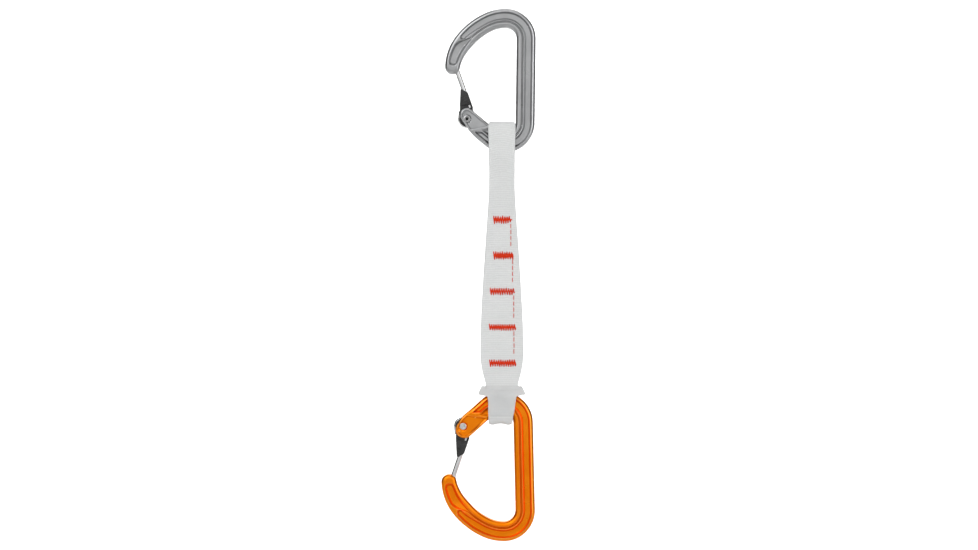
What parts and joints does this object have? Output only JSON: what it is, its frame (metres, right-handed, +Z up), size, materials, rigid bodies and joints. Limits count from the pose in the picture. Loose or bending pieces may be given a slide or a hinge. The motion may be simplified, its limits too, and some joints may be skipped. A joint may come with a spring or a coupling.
{
  "type": "climbing quickdraw",
  "caption": "Two wiregate carabiners, one bare and one orange, joined by a tapered white sewn sling with a rubber keeper at its lower end.",
  "frame": {"origin": "inner apex of the upper carabiner, where the anchor bears", "axes": "+Z up along the hanging sling, +X from the gates to the spines, +Y through the thickness"},
  "size_m": [0.0594, 0.015, 0.335],
  "materials": {
    "bare_alloy": "satin",
    "orange_alloy": "satin anodised",
    "gate_steel": "polished",
    "rivet_steel": "satin",
    "spring_steel": "satin",
    "cover_plastic": "matt",
    "webbing": "woven",
    "keeper_rubber": "satin translucent",
    "thread": "thread"
  },
  "bodies": {
    "upper_carabiner": {"upper_frame": "bare_alloy", "upper_gate_rivet": "rivet_steel", "upper_gate_bush": "spring_steel", "upper_gate_springs": "spring_steel"},
    "upper_gate": {"upper_gate_wire": "gate_steel", "upper_gate_cover": "cover_plastic"},
    "sling_top": {"sling_top_bend": "webbing"},
    "sling_legs": {"sling_upper_legs": "webbing"},
    "sling_strap": {"sling_body": "webbing", "bar_tack_1": "thread", "bar_tack_2": "thread", "bar_tack_3": "thread", "bar_tack_4": "thread", "bar_tack_5": "thread", "running_stitch": "thread"},
    "sling_end": {"sling_lower_loop": "webbing", "keeper": "keeper_rubber"},
    "lower_carabiner": {"lower_frame": "orange_alloy", "lower_gate_rivet": "rivet_steel", "lower_gate_bush": "spring_steel", "lower_gate_springs": "spring_steel"},
    "lower_gate": {"lower_gate_wire": "gate_steel", "lower_gate_cover": "cover_plastic"}
  },
  "joints": [
    {"name": "upper_gate_hinge", "type": "hinge", "parent": "upper_carabiner", "child": "upper_gate", "pos_m": [-0.02424, 0, -0.05742], "axis": [0, 1, 0], "range_deg": [0, 48], "stiffness_Nm_per_rad": 0.12, "springref_deg": -34.38},
    {"name": "sling_rock", "type": "hinge", "parent": "upper_carabiner", "child": "sling_top", "pos_m": [-0.0023, 0, -0.0603], "axis": [0, 1, 0], "range_deg": [-12, 12], "deforming": ["sling_top_bend"]},
    {"name": "sling_swing", "type": "hinge", "parent": "sling_top", "child": "sling_legs", "pos_m": [-0.0023, 0, -0.0717], "axis": [1, 0, 0], "range_deg": [-90, 90], "deforming": ["sling_upper_legs"]},
    {"name": "sling_fold", "type": "hinge", "parent": "sling_legs", "child": "sling_strap", "pos_m": [-0.0023, 0, -0.1183], "axis": [1, 0, 0], "range_deg": [-60, 60]},
    {"name": "keeper_fold", "type": "hinge", "parent": "sling_strap", "child": "sling_end", "pos_m": [-0.0023, 0, -0.221], "axis": [1, 0, 0], "range_deg": [-60, 60], "deforming": ["sling_lower_loop"]},
    {"name": "lower_swing", "type": "hinge", "parent": "sling_end", "child": "lower_carabiner", "pos_m": [-0.0023, 0, -0.2364], "axis": [1, 0, 0], "range_deg": [-12, 12], "deforming": ["keeper"]},
    {"name": "lower_gate_hinge", "type": "hinge", "parent": "lower_carabiner", "child": "lower_gate", "pos_m": [-0.02668, 0, -0.25059], "axis": [0, -1, 0], "range_deg": [0, 48], "stiffness_Nm_per_rad": 0.12, "springref_deg": -34.38}
  ]
}
